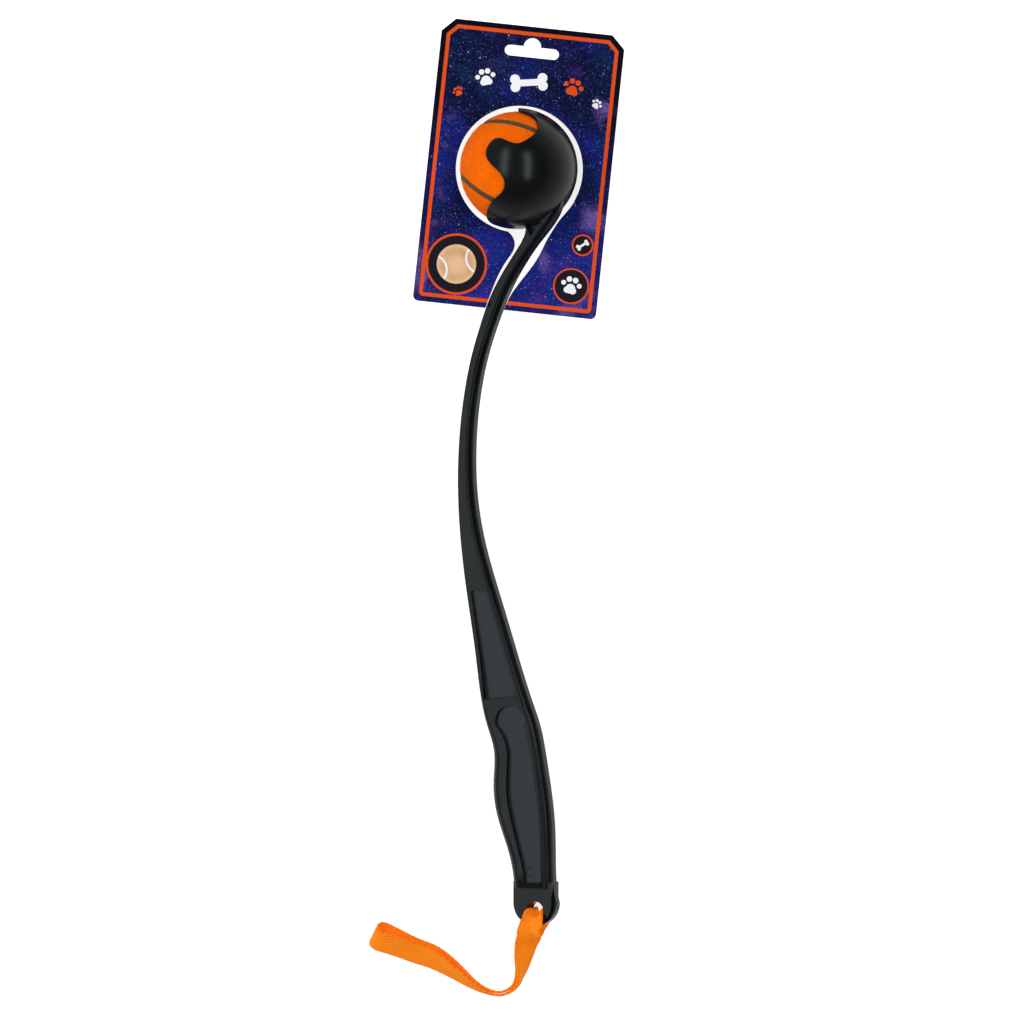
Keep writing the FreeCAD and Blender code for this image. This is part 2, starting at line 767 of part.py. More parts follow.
def outer_edge(section, side):
    """Where the side of the launcher lies in plan at a section, as seen from above."""
    half = section.thick / 2 - section.corner
    rounds = [(x, w) for x in (section.front + section.corner,
                               section.back - size("rib_proud") - section.corner)
              for w in (-half, half)]
    marks = [(lying.multVec(Vector(x, -section.along, w)), section.corner) for x, w in rounds]
    marks += [(lying.multVec(Vector(section.back, -section.along, w)), 0)
              for w in (-rib_half, rib_half)]
    return max((Vector(point.x + side * corner, point.y, 0) for point, corner in marks),
               key=lambda point: side * point.x)


swan = by_name["swan"]
seat_gap = Vector(size("card_seat_gap"), 0, 0)
slot_sections = [swan, by_name["fall"], by_name["dip"]]
left = [Vector(x, y, 0) for x, y in CARD_SLOT_LEFT]
left += [outer_edge(section, -1) - seat_gap for section in slot_sections]
right = [outer_edge(section, 1) + seat_gap for section in reversed(slot_sections)]
right += [Vector(x, y, 0) for x, y in CARD_SLOT_RIGHT]
slot = Part.Face(Part.Wire([
    smooth(left), Part.makeLine(left[-1], right[0]), smooth(right),
    Part.makeLine(right[-1], left[0]),
]))

card_axes = Placement(Vector(), Rotation(UP, -size("card_turn")))
x_low = size("card_offset_x") - size("card_width") / 2
x_high = size("card_offset_x") + size("card_width") / 2
y_low = size("card_offset_y") - size("card_height") / 2
y_high = size("card_offset_y") + size("card_height") / 2
chamfer = size("card_chamfer")
round_off = size("card_corner")
diagonal = round_off * (1 - math.sqrt(0.5))
outline = Part.Face(Part.Wire([
    Part.makeLine(Vector(x_low + round_off, y_low, 0), Vector(x_high - round_off, y_low, 0)),
    arc(Vector(x_high - round_off, y_low, 0), Vector(x_high - diagonal, y_low + diagonal, 0),
        Vector(x_high, y_low + round_off, 0)),
] + straight_run([
    Vector(x_high, y_low + round_off, 0), Vector(x_high, y_high - chamfer, 0),
    Vector(x_high - chamfer, y_high, 0), Vector(x_low + chamfer, y_high, 0),
    Vector(x_low, y_high - chamfer, 0), Vector(x_low, y_low + round_off, 0),
]) + [
    arc(Vector(x_low, y_low + round_off, 0), Vector(x_low + diagonal, y_low + diagonal, 0),
        Vector(x_low + round_off, y_low, 0)),
]))
euro = Vector(size("ring_shift"), y_high - size("euro_inset"), 0)
euro_half = Vector((size("euro_length") - size("euro_height")) / 2, 0, 0)
euro_rise = Vector(0, size("euro_height") / 2, 0)
euro_bar = Part.Face(Part.Wire([
    Part.makeLine(euro - euro_half - euro_rise, euro + euro_half - euro_rise),
    arc(euro + euro_half - euro_rise, euro + euro_half * (1 + euro_rise.y / euro_half.x),
        euro + euro_half + euro_rise),
    Part.makeLine(euro + euro_half + euro_rise, euro - euro_half + euro_rise),
    arc(euro - euro_half + euro_rise, euro - euro_half * (1 + euro_rise.y / euro_half.x),
        euro - euro_half - euro_rise),
]))
euro_bump = disc(euro + Vector(0, size("euro_bump_rise"), 0), size("euro_bump") / 2)
outline = outline.cut(euro_bar.fuse(euro_bump).removeSplitter())
outline.Placement = card_axes
ring = disc(Vector(size("ring_shift"), 0, 0), size("ring_radius"))
outline = outline.cut(ring.fuse(slot))
board_prism = outline.Faces[0].extrude(UP * (2 * cup_outer))

leans_on = lying.multVec(Vector(swan.front + swan.corner, -swan.along, swan.thick / 2))
foot = card_axes.inverse().multVec(Vector(leans_on.x, leans_on.y, 0))
lean = math.atan2(leans_on.z - size("card_floor_gap"), y_high - foot.y)
slab = Part.makeBox(4 * size("card_width"), 3 * size("card_height"), size("card_board"),
                    Vector(-2 * size("card_width"), -3 * size("card_height"), 0))
slab.Placement = card_axes * Placement(Vector(0, y_high, size("card_floor_gap")),
                                       Rotation(Vector(1, 0, 0), -math.degrees(lean)))
print("lean", round(math.degrees(lean), 2))
board_prism.translate(UP * -1)
board = max(board_prism.common(slab).Solids, key=lambda piece: piece.Volume)
feature = solid_feature("hang_card", board)
NODES.append(feature)
doc.recompute()

# Origin under the middle of the whole part's box, then one file for each node
points = [point for node in NODES for point in node.Shape.tessellate(0.05)[0]]
low = Vector(min(p.x for p in points), min(p.y for p in points), min(p.z for p in points))
high = Vector(max(p.x for p in points), max(p.y for p in points), max(p.z for p in points))
shift = Placement(Vector(-(low.x + high.x) / 2, -(low.y + high.y) / 2, -low.z), Rotation())
for node in NODES:
    node.Placement = shift * node.Placement
doc.recompute()

for item in doc.Objects:
    if "Invalid" in item.State or "Error" in item.State:
        raise RuntimeError(f"{item.Label} did not compute: {item.State}")
os.makedirs("parts", exist_ok=True)
for node in NODES:
    if node.Shape.isNull() or not node.Shape.isValid():
        raise RuntimeError(f"{node.Label} has no valid shape")
    if len(node.Shape.Solids) != 1:
        raise RuntimeError(f"{node.Label} is not one solid")
    node.Shape.exportStep(f"parts/{node.Label}.step")


def stated(word, vector):
    print(word, [round(value, 5) for value in vector])


moved = shift * lying
stated("box", high - low)
stated("ball centre", moved.multVec(Vector()))
stated("mouth axis", moved.Rotation.multVec(rim_direction(0, 0)))
stated("across axis", moved.Rotation.multVec(UP))
stated("front to back axis", moved.Rotation.multVec(Vector(1, 0, 0)))
stated("along axis", moved.Rotation.multVec(Vector(0, 1, 0)))
stated("strap hole", moved.multVec(hole_centre))
hollow_middle = place(wedge.front + size("rib_proud") + wedge.depth / 2, wedge.along)
stated("upper hollow floor", moved.multVec(hollow_middle + UP * size("hollow_floor")))
stated("euro slot", shift.multVec(slab.Placement.multVec(Vector())))
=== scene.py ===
"""Dog ball launcher with its ball, wrist strap and hang card: finishes, cloth, light and camera."""
import math

import bpy
import numpy as np
from bpy.props import FloatProperty, FloatVectorProperty, IntProperty, PointerProperty
from mathutils import Matrix, Vector
from mathutils.bvhtree import BVHTree


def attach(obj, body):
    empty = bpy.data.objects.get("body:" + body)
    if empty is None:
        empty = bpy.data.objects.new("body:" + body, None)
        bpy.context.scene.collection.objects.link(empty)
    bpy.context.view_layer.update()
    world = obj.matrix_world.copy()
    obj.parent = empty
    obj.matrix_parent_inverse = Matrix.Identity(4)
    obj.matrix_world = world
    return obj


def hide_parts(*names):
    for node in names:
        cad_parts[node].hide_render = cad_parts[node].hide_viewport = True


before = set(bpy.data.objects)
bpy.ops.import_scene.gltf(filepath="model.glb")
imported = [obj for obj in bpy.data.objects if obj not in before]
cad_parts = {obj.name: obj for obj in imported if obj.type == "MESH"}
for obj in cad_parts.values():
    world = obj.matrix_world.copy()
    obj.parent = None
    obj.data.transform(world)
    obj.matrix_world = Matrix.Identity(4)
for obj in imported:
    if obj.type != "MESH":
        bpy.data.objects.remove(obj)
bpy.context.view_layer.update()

bl_info = {
    "name": "Dog Ball Launcher",
    "version": (1, 0, 0),
    "blender": (4, 5, 0),
    "location": "View3D > Sidebar > Ball Launcher",
    "description": "Finishes the ball launcher's parts and sets up its stage",
    "category": "Object",
}

MM = 0.001

# The launcher in the frame: the ball's centre and radius, the directions across the moulding, to
# its back edge and along it, the middle of the tab's hole, and the cuts between cup, shaft and
# handle, measured along it from the ball's centre
BALL = Vector((0.01038187, 0.18927923, 0.03178087))
BALL_RADIUS = 0.03175
ACROSS = Vector((-0.45313, -0.05098, 0.88998)).normalized()
BACK = Vector((0.89144, -0.02591, 0.45239)).normalized()
ALONG = Vector((0.0, 0.99836, 0.05718)).normalized()
HOLE = Vector((0.02241636, -0.22529167, 0.01416264))
SPLITS = (-0.047, -0.2325)

# The hang card: its normal, its back face's distance along that, its thickness, its turn as seen
# from above, and in millimetres its middle from the ball's centre, its half sizes, the chamfer of
# its top corners, the rounding of its foot's corners, and the line where that begins
CARD_NORMAL = Vector((0.01808298, 0.16920679, 0.98541467))
CARD_BACK = 0.0460257
CARD_THICK = 0.0008
CARD_TURN = math.radians(6.1)
CARD_MIDDLE = (1.2, 0.6)
CARD_HALF = (51.4, 79.8)
CARD_CHAMFER = 7.4
FOOT_ROUND = 5.5
CARD_FOOT_LINE = FOOT_ROUND - CARD_HALF[1]

# One leg of the strap from the middle of the hole to below the tab: the distance out from the
# tab's middle, how far below the hole's centre it runs, the turn of its outer face away from the
# hole, the turn of the upper and of the lower leg to the front inside the hole, its curl per mm,
# and how far the upper and the lower leg move to the front
NEAR_HOLE = [
    (0.0, 4.3, 0.0, -14.0, -14.0, 0.232, 0.0, 0.0),
    (2.6, 4.3, 0.0, 8.0, -28.0, 0.232, 0.0, 0.0),
    (4.4, 4.28, 6.0, 20.0, -32.0, 0.215, 0.0, 0.3),
    (5.24, 4.6, 45.0, 7.0, -14.0, 0.140, 0.0, 1.4),
    (5.6, 5.6, 84.0, 0.0, 0.0, 0.105, 0.1, 3.4),
    (5.8, 7.4, 90.0, 0.0, 0.0, 0.098, 0.8, 5.4),
    (5.9, 9.6, 86.0, 0.0, 0.0, 0.092, 1.6, 6.9),
]

# The strap's way over the table: the place from the hole's centre, the lean of its upper face, the
# distance between its legs, how far it is held up, its curl per mm, and how far the lower leg is
# moved aside
STRAP_LAY = [
    (-6.5, -13.8, 20.0, 6.0, 3.8, 0.07, 3.2),
    (-8.2, -19.4, 36.0, 3.2, 1.7, 0.03, 2.6),
    (-9.2, -26.0, 48.0, 2.2, 1.7, 0.0, 2.1),
    (-9.9, -33.0, 67.0, 1.8, 1.1, 0.0, 1.6),
    (-11.1, -38.0, 80.0, 1.75, 0.4, 0.0, 0.5),
    (-13.0, -42.3, 86.0, 1.75, 0.0, 0.0, 0.0),
    (-16.9, -45.3, 88.0, 1.7, 0.0, 0.0, 0.0),
    (-21.8, -46.8, 89.0, 1.7, 0.0, 0.0, 0.0),
    (-29.0, -45.3, 86.0, 1.7, 0.0, 0.0, 0.0),
    (-36.5, -41.5, 78.0, 1.8, 0.0, 0.0, 0.0),
    (-43.7, -36.2, 68.0, 2.6, 0.0, 0.0, 0.0),
    (-49.9, -31.7, 60.0, 3.5, 0.0, 0.0, 0.0),
    (-55.7, -28.0, 51.0, 3.8, 0.0, 0.0, 0.0),
    (-61.1, -25.3, 46.0, 4.1, 0.0, 0.0, 0.0),
    (-68.3, -22.8, 41.0, 4.0, 0.0, 0.0, 0.0),
    (-74.5, -20.3, 42.0, 4.8, 0.0, 0.0, 0.0),
    (-81.3, -17.4, 42.0, 6.6, 0.0, 0.0, 0.0),
    (-88.2, -14.7, 42.0, 8.2, 0.0, 0.0, 0.0),
]
# Turns in degrees of the webbing round the fold at its far end, and its least height in
# millimetres over the table
FOLD_TURNS = (30, 60, 90)
FLOOR_GAP = 0.12


def a_colour(name, description, default):
    return FloatVectorProperty(name=name, description=description, subtype="COLOR", size=3, min=0,
                               max=1, default=default)


def a_length(name, description, default, least=0):
    return FloatProperty(name=name, description=description, unit="LENGTH", min=least,
                         default=default)


class PlasticSettings(bpy.types.PropertyGroup):
    colour: a_colour("Plastic", "Colour of the moulding", (0.0040, 0.0047, 0.0049))
    roughness: FloatProperty(name="Roughness", description="How matt the moulding is",
                             subtype="FACTOR", min=0, max=1, default=0.235)
    edge_radius: a_length("Edge", "Rounding of the moulded edges", 0.0004)


class BallSettings(bpy.types.PropertyGroup):
    felt: a_colour("Felt", "Colour of the felt", (0.92, 0.150, 0.0005))
    # Painted shade: the colour the felt takes in its pits, where its bump is low
    shaded_pits: a_colour("Felt in its pits", "Colour deep in the felt", (0.80, 0.105, 0.0))
    seam: a_colour("Seam", "Colour of the cement seam", (0.030, 0.028, 0.004))
    fibres: IntProperty(name="Fibres", description="Number of loose fibres on the felt", min=0,
                        default=26000)
    fibre_length: a_length("Fibre length", "Longest loose fibre", 0.0013)


class StrapSettings(bpy.types.PropertyGroup):
    width: a_length("Width", "Width of the webbing", 0.015)
    thickness: a_length("Thickness", "Thickness of the webbing", 0.0014)
    # The ridges' lighter colour and the furrows' darker colour are painted light and painted shade
    # on the webbing
    colour: a_colour("Ridges", "Colour of the twill's ridges", (1.0, 0.295, 0.012))
    shaded: a_colour("Furrows", "Colour between the ridges", (0.64, 0.100, 0.0015))


class CardSettings(bpy.types.PropertyGroup):
    night: a_colour("Night", "Darkest blue of the print", (0.0016, 0.0040, 0.034))
    haze: a_colour("Haze", "Violet clouds of the print", (0.052, 0.018, 0.22))
    line: a_colour("Border", "Colour of the border line", (0.745, 0.077, 0.007))
    line_inset: a_length("Border inset", "From the edge to the border line", 0.0030)
    line_width: a_length("Border width", "Width of the border line", 0.0021)
    board: a_colour("Board", "Colour of the bare board", (0.70, 0.67, 0.61))


class StageSettings(bpy.types.PropertyGroup):
    lamp: FloatProperty(name="Softboxes", description="Power of a softbox", min=0, default=13.0)
    walls: FloatProperty(name="Walls", description="Brightness of the room's walls", min=0,
                         default=0.85)
    ceiling: FloatProperty(name="Ceiling", description="Brightness of the room's ceiling", min=0,
                           default=0.12)
    distance: a_length("Camera height", "Height of the camera", 12.0, least=1)


class Value:
    """A number, colour or vector in a material, which adds nodes for the sums it is used in."""

    def __init__(self, finish, socket):
        self.finish = finish
        self.socket = socket

    def calculate(self, operation, *values):
        return self.finish.node("ShaderNodeMath", {"operation": operation},
                                dict(enumerate(values)))

    def __add__(self, other):
        return self.calculate("ADD", self, other)

    def __sub__(self, other):
        return self.calculate("SUBTRACT", self, other)

    def __rsub__(self, other):
        return self.calculate("SUBTRACT", other, self)

    def __mul__(self, other):
        return self.calculate("MULTIPLY", self, other)

    def __truediv__(self, other):
        return self.calculate("DIVIDE", self, other)

    def __pow__(self, other):
        return self.calculate("POWER", self, other)

    def __abs__(self):
        return self.calculate("ABSOLUTE", self)

    def least(self, other):
        return self.calculate("MINIMUM", self, other)

    def most(self, other):
        return self.calculate("MAXIMUM", self, other)

    def wave(self):
        return self.calculate("SINE", self * (2 * math.pi)) * 0.5 + 0.5

    def rise(self, low, high):
        """0 up to low and 1 from high on, eased between."""
        return self.finish.node("ShaderNodeMapRange", {"interpolation_type": "SMOOTHSTEP"},
                                {"Value": self, "From Min": low, "From Max": high})

    def between(self, low, high, soft):
        """1 from low to high, in millimetres, and 0 where it is further than soft outside."""
        return (self.rise((low - soft) * MM, low * MM)
                * (1 - self.rise(high * MM, (high + soft) * MM)))


class Nodes:
    """Adds nodes to a node tree."""

    def __init__(self, tree):
        self.nodes = tree.nodes
        self.links = tree.links

    def node(self, kind, settings=None, inputs=None, output=0):
        node = self.nodes.new(kind)
        for word, value in (settings or {}).items():
            setattr(node, word, value)
        for word, value in (inputs or {}).items():
            self.feed(node.inputs[word], value)
        return Value(self, node.outputs[output])

    def feed(self, socket, value):
        if isinstance(value, Value):
            self.links.new(value.socket, socket)
        elif hasattr(value, "__len__") and len(value) == 3 and socket.type == "RGBA":
            socket.default_value = (*value, 1)
        else:
            socket.default_value = value

    def mix(self, factor, first, second):
        return self.node("ShaderNodeMix", {"data_type": "RGBA"}, {0: factor, 6: first, 7: second},
                         output=2)

    def dot(self, place, axis):
        return self.node("ShaderNodeVectorMath", {"operation": "DOT_PRODUCT"},
                         {0: place, 1: tuple(axis)}, output="Value")


class Finish(Nodes):
    """A material that is built up node by node."""

    def __init__(self, name, **constants):
        self.material = bpy.data.materials.new(name)
        self.material.use_nodes = True
        super().__init__(self.material.node_tree)
        self.shader = self.nodes["Principled BSDF"]
        self.surface(**constants)
        self.place = self.node("ShaderNodeTexCoord", output="Object")

    def surface(self, **inputs):
        for word, value in inputs.items():
            self.feed(self.shader.inputs[word.replace("_", " ")], value)

    def noise(self, grain, detail):
        """Soft noise with spots of about the grain's size in millimetres."""
        return self.node("ShaderNodeTexNoise", None,
                         {"Vector": self.place, "Scale": 1 / (grain * MM), "Detail": detail})

    def cells(self, grain, place, output):
        """Cells of about the grain's size in millimetres."""
        return self.node("ShaderNodeTexVoronoi", None,
                         {"Vector": place, "Scale": 1 / (grain * MM)}, output=output)

    def bump(self, height, depth, strength, normal=None):
        """Bump of a depth in millimetres."""
        inputs = {"Height": height, "Distance": depth * MM, "Strength": strength}
        if normal:
            inputs["Normal"] = normal
        return self.node("ShaderNodeBump", None, inputs)


def give(name, finish):
    """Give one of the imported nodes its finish."""
    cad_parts[name].material_slots[0].material = finish.material


def choose(*pieces):
    """Select these pieces alone, the first of them as the active one."""
    bpy.ops.object.select_all(action="DESELECT")
    for piece in reversed(pieces):
        piece.select_set(True)
        bpy.context.view_layer.objects.active = piece


def new_piece(name, vertices, faces, finish):
    mesh = bpy.data.meshes.new(name)
    mesh.from_pydata([tuple(v) for v in vertices], [], faces)
    mesh.materials.append(finish.material)
    piece = bpy.data.objects.new(name, mesh)
    bpy.context.scene.collection.objects.link(piece)
    return piece


def node_mesh(name):
    """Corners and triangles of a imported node."""
    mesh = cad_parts[name].data
    corners = np.empty(len(mesh.vertices) * 3)
    mesh.vertices.foreach_get("co", corners)
    triangles = np.array([tuple(face.vertices) for face in mesh.polygons])
    return corners.reshape(-1, 3), triangles


def unit(rows):
    """Rows of vectors, each with the length 1."""
    return rows / np.linalg.norm(rows, axis=1)[:, None]


# Moulding

# Floors of the handle's two hollows, given a paler colour as painted sheen: from and to a height,
# from and to a place along the handle, in millimetres from the ball's centre
HOLLOW_FLOOR_SHEEN = [(5.6, 6.6, -410, -301), (3.6, 4.8, -322, -236)]


def satin_plastic(settings):
    finish = Finish("satin_black_plastic", Specular_IOR_Level=0.13,
                    Specular_Tint=(0.84, 0.96, 1.0, 1))
    flow = finish.noise(26, detail=3)
    grain = finish.noise(0.42, detail=2)
    dust = finish.noise(1.6, detail=4).rise(0.62, 0.80)
    pale = tuple(channel * 1.9 for channel in settings.colour)
    colour = finish.mix(flow.rise(0.35, 0.70), tuple(settings.colour), pale)
    along = finish.dot(finish.place, ALONG) - BALL.dot(ALONG)
    height = finish.dot(finish.place, ACROSS) - BALL.dot(ACROSS)
    # Painted sheen: the hollows' floors get a paler colour where they face the light
    for low, high, foot, top in HOLLOW_FLOOR_SHEEN:
        floor = height.between(low, high, 0.1) * along.between(foot, top, 2)
        colour = finish.mix(floor, colour, (0.0165, 0.0185, 0.0205))
    finish.surface(Base_Color=finish.mix(dust * 0.35, colour, (0.016, 0.017, 0.018)),
                   Roughness=flow * 0.08 + grain * 0.06 + dust * 0.10 + (settings.roughness - 0.07))
    # Edges look rounded, but not those where the moulding is cut into its nodes
    from_cup, from_handle = (abs(along - split) for split in SPLITS)
    near_cut = settings.edge_radius * 1.5
    uncut = from_cup.least(from_handle).rise(near_cut, near_cut * 1.6)
    rounded = finish.node("ShaderNodeBevel", {"samples": 6}, {"Radius": settings.edge_radius})
    plain = finish.node("ShaderNodeNewGeometry", output="Normal")
    normal = finish.node("ShaderNodeMix", {"data_type": "VECTOR"},
                         {0: uncut, 4: plain, 5: rounded}, output=1)
    finish.surface(Normal=finish.bump(grain, 0.02, 0.35, normal))
    return finish


class BALLLAUNCHER_OT_moulding(bpy.types.Operator):
    """Give the cup, the shaft and the handle the satin of black injection-moulded plastic"""

    bl_idname = "balllauncher.moulding"
    bl_label = "Moulding"

    def execute(self, context):
        finish = satin_plastic(context.scene.launcher_plastic)
        for name in ("cup", "shaft", "handle"):
            give(name, finish)
        return {"FINISHED"}


# Ball

# The seam's turns about the frame's axes in degrees, the two shares of its curve, its steps once
# round, and how far in millimetres the fibres keep clear of it
BALL_TURN = (80.2, -42.7, 73.7)
SEAM_BENDS = (0.75, 0.25)
SEAM_STEPS = 300
SEAM_CLEAR = 0.12
# Across the bead: the distance from its middle and the height over the felt, round and back below
SEAM_PROFILE = [
    (-1.90, -0.20), (-1.80, 0.03), (-1.40, 0.07), (-0.70, -0.04), (0.0, -0.10), (0.70, -0.04),
    (1.40, 0.07), (1.80, 0.03), (1.90, -0.20), (0.85, -0.90), (-0.85, -0.90),
]

# How far in millimetres a corner may lie inside the ball's round and belong to the felt's outside
SKIN_DEPTH = 0.02

# The felt's fibres: the seed of their draws, their least and most lean, how much they bend, their
# least and most share of the full length, their least and most half width, the depth of their
# roots, the share of the room over its root that a fibre fills, the height under which it lies
# flat, and how much its blade narrows to its middle; widths, depths and heights in millimetres
FIBRE_SEED = 11
FIBRE_LEAN = (0.5, 1.9)
FIBRE_CURL = 0.45
FIBRE_LENGTH = (0.45, 1.0)
FIBRE_HALF = (0.030, 0.055)
FIBRE_ROOT = 0.08
FIBRE_ROOM = 0.8
FLAT_FIBRE = 0.02
BLADE_TAPER = 0.8


def felt_finish(settings, name, fuzz):
    finish = Finish(name, Specular_IOR_Level=0.05, Sheen_Weight=0.05, Sheen_Roughness=0.6,
                    Sheen_Tint=(1.0, 0.45, 0.15, 1))
    clumps = finish.noise(1.5, detail=4)
    threads = finish.noise(0.35, detail=3)
    patches = finish.noise(9, detail=2)
    # The felt darkens to the pits' colour where the bump is low: partly its random tone, partly
    # painted shade; the loose fibres get half of that
    lightness = clumps.rise(0.32, 0.58) * 0.55 + threads.rise(0.35, 0.60) * 0.45
    if fuzz:
        lightness = lightness * 0.5 + 0.5
    colour = finish.mix(lightness, tuple(settings.shaded_pits), tuple(settings.felt))
    colour = finish.mix(patches.rise(0.45, 0.75) * 0.35, colour, (1.0, 0.22, 0.004))
    finish.surface(Base_Color=colour, Roughness=clumps * 0.1 + 0.85)
    if not fuzz:
        finish.surface(Normal=finish.bump(clumps * 0.6 + threads * 0.4, 0.30, 0.8))
    return finish


def seam_direction(turn):
    """Direction from the ball's centre to its seam, which goes once round it in four bends."""
    long, short = SEAM_BENDS
    bend = Vector((long * math.cos(turn) + short * math.cos(3 * turn),
                   long * math.sin(turn) - short * math.sin(3 * turn),
                   2 * math.sqrt(long * short) * math.sin(2 * turn))).normalized()
    x, y, z = (Matrix.Rotation(math.radians(degrees), 3, axis)
               for degrees, axis in zip(BALL_TURN, "XYZ"))
    return z @ y @ x @ bend


def seam_band(finish):
    """The bead of cement over the edges of both felt panels, low in its middle, one closed ring."""
    corners = []
    for index in range(SEAM_STEPS):
        turn = 2 * math.pi * index / SEAM_STEPS
        middle = seam_direction(turn)
        ahead = seam_direction(turn + 0.001) - seam_direction(turn - 0.001)
        aside = middle.cross(ahead).normalized()
        for across, rise in SEAM_PROFILE:
            angle = across * MM / BALL_RADIUS
            direction = middle * math.cos(angle) + aside * math.sin(angle)
            corners.append(BALL + direction * (BALL_RADIUS + rise * MM))
    count = len(SEAM_PROFILE)
    faces = []
    for index in range(SEAM_STEPS):
        start = index * count
        following = (index + 1) % SEAM_STEPS * count
        for corner in range(count):
            after = (corner + 1) % count
            faces.append((start + corner, start + after, following + after, following + corner))
    piece = new_piece("seam_cement", corners, faces, finish)
    choose(piece)
    bpy.ops.object.mode_set(mode="EDIT")
    bpy.ops.mesh.select_all(action="SELECT")
    bpy.ops.mesh.normals_make_consistent(inside=False)
    bpy.ops.object.mode_set(mode="OBJECT")
    bpy.ops.object.shade_smooth_by_angle(angle=math.radians(50))
    piece.select_set(False)
    return piece


def fibre_roots(settings, random):
    """Places on the outside of both felt panels, with the room above each."""
    cup_corners, cup_triangles = node_mesh("cup")
    cup = BVHTree.FromPolygons(cup_corners.tolist(), cup_triangles.tolist())
    skins = []
    for name in ("felt_panel_a", "felt_panel_b"):
        corners, triangles = node_mesh(name)
        outside = np.linalg.norm(corners - np.array(BALL), axis=1) > BALL_RADIUS - SKIN_DEPTH * MM
        skins.append(corners[triangles[outside[triangles].all(axis=1)]])
    skin = np.concatenate(skins)
    areas = np.linalg.norm(np.cross(skin[:, 1] - skin[:, 0], skin[:, 2] - skin[:, 0]), axis=1)
    chosen = skin[random.choice(len(skin), settings.fibres, p=areas / areas.sum())]
    share = random.random((settings.fibres, 2))
    share[share.sum(axis=1) > 1] = 1 - share[share.sum(axis=1) > 1]
    roots = (chosen[:, 0] + share[:, :1] * (chosen[:, 1] - chosen[:, 0])
             + share[:, 1:] * (chosen[:, 2] - chosen[:, 0]))
    outward = unit(roots - np.array(BALL))
    room = np.full(settings.fibres, settings.fibre_length)
    for index, (root, up) in enumerate(zip(roots.tolist(), outward.tolist())):
        place, _, _, distance = cup.ray_cast(Vector(root), Vector(up), 3 * MM)
        if place is not None:
            room[index] = FIBRE_ROOM * distance
        # The table is below the fibres that point down
        if up[2] < -0.05:
            room[index] = min(room[index], FIBRE_ROOM * root[2] / -up[2])
    return roots, outward, room


def felt_fuzz(settings, finish, seam_piece):
    """Loose fibres that stand out of the felt, each a bent blade, short under the cup."""
    random = np.random.default_rng(FIBRE_SEED)
    roots, outward, room = fibre_roots(settings, random)
    count = len(roots)
    aside = unit(np.cross(outward, random.normal(size=(count, 3))))
    lean = random.uniform(*FIBRE_LEAN, (count, 1))
    heading = unit(outward + aside * lean)
    curl = unit(heading + random.normal(scale=FIBRE_CURL, size=(count, 3)))
    length = settings.fibre_length * random.uniform(*FIBRE_LENGTH, (count, 1))
    height = ((heading + curl) * outward).sum(axis=1)[:, None] * length / 2
    length *= np.minimum(1.0, room[:, None] / np.maximum(height, FLAT_FIBRE * MM))
    flat = unit(np.cross(heading, outward))
    half = random.uniform(*FIBRE_HALF, (count, 1)) * MM
    base = roots - outward * FIBRE_ROOT * MM
    middle = base + heading * length / 2
    tip = middle + curl * length / 2
    seam = BVHTree.FromPolygons([vertex.co for vertex in seam_piece.data.vertices],
                                [tuple(face.vertices) for face in seam_piece.data.polygons])
    clear = np.ones(count, dtype=bool)
    for points in (base, middle, tip):
        for index, point in enumerate(points.tolist()):
            on_seam = BALL + (Vector(point) - BALL).normalized() * BALL_RADIUS
            clear[index] &= seam.find_nearest(on_seam, SEAM_CLEAR * MM)[0] is None
    base, middle, tip, flat, half, outward = (part[clear] for part in
                                              (base, middle, tip, flat, half, outward))
    corners = np.stack([base - flat * half, base + flat * half,
                        middle + flat * half * BLADE_TAPER, middle - flat * half * BLADE_TAPER,
                        tip], axis=1).reshape(-1, 3)
    faces = []
    for start in range(0, len(corners), 5):
        faces.append((start, start + 1, start + 2, start + 3))
        faces.append((start + 3, start + 2, start + 4))
    piece = new_piece("felt_fuzz", corners, faces, finish)
    mesh = piece.data
    mesh.polygons.foreach_set("use_smooth", [True] * len(mesh.polygons))
    mesh.normals_split_custom_set_from_vertices(np.repeat(outward, 5, axis=0).tolist())
    return piece


class BALLLAUNCHER_OT_ball(bpy.types.Operator):
    """Finish the ball's felt panels, its seam and its rubber core, and raise the felt's nap"""

    bl_idname = "balllauncher.ball"
    bl_label = "Ball"

    def execute(self, context):
        settings = context.scene.launcher_ball
        felt = felt_finish(settings, "needled_felt", fuzz=False)
        give("felt_panel_a", felt)
        give("felt_panel_b", felt)
        seam = Finish("seam_cement", Specular_IOR_Level=0.3)
        crumbs = seam.noise(0.8, detail=4)
        seam.surface(Base_Color=seam.mix(crumbs.rise(0.35, 0.65), tuple(settings.seam),
                                         (0.070, 0.045, 0.005)),
                     Roughness=crumbs * 0.2 + 0.6, Normal=seam.bump(crumbs, 0.25, 0.7))
        band = seam_band(seam)
        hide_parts("ball_seam")
        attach(band, "ball")
        rubber = Finish("core_rubber", Specular_IOR_Level=0.35)
        specks = rubber.noise(0.6, detail=4)
        rubber.surface(Base_Color=rubber.mix(specks.rise(0.4, 0.7), (0.018, 0.016, 0.015),
                                             (0.045, 0.040, 0.036)),
                       Roughness=specks * 0.2 + 0.6, Normal=rubber.bump(specks, 0.05, 0.5))
        give("core_half_a", rubber)
        give("core_half_b", rubber)
        fuzz = felt_fuzz(settings, felt_finish(settings, "felt_fibres", fuzz=True), band)
        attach(fuzz, "ball")
        return {"FINISHED"}


# Wrist strap

# Faces across the webbing, and in millimetres how far its edges are drawn in and waver
STRAP_COLUMNS = 14
EDGE_INSET = 0.1
EDGE_WAVER = 0.05

# The twill in millimetres: from ridge to ridge across and how much they slant, and the yarns' pitch
# along and across
RIDGE_PITCH = 1.35
RIDGE_SLANT = 0.42
YARN_ALONG = 0.62
YARN_ACROSS = 1.9

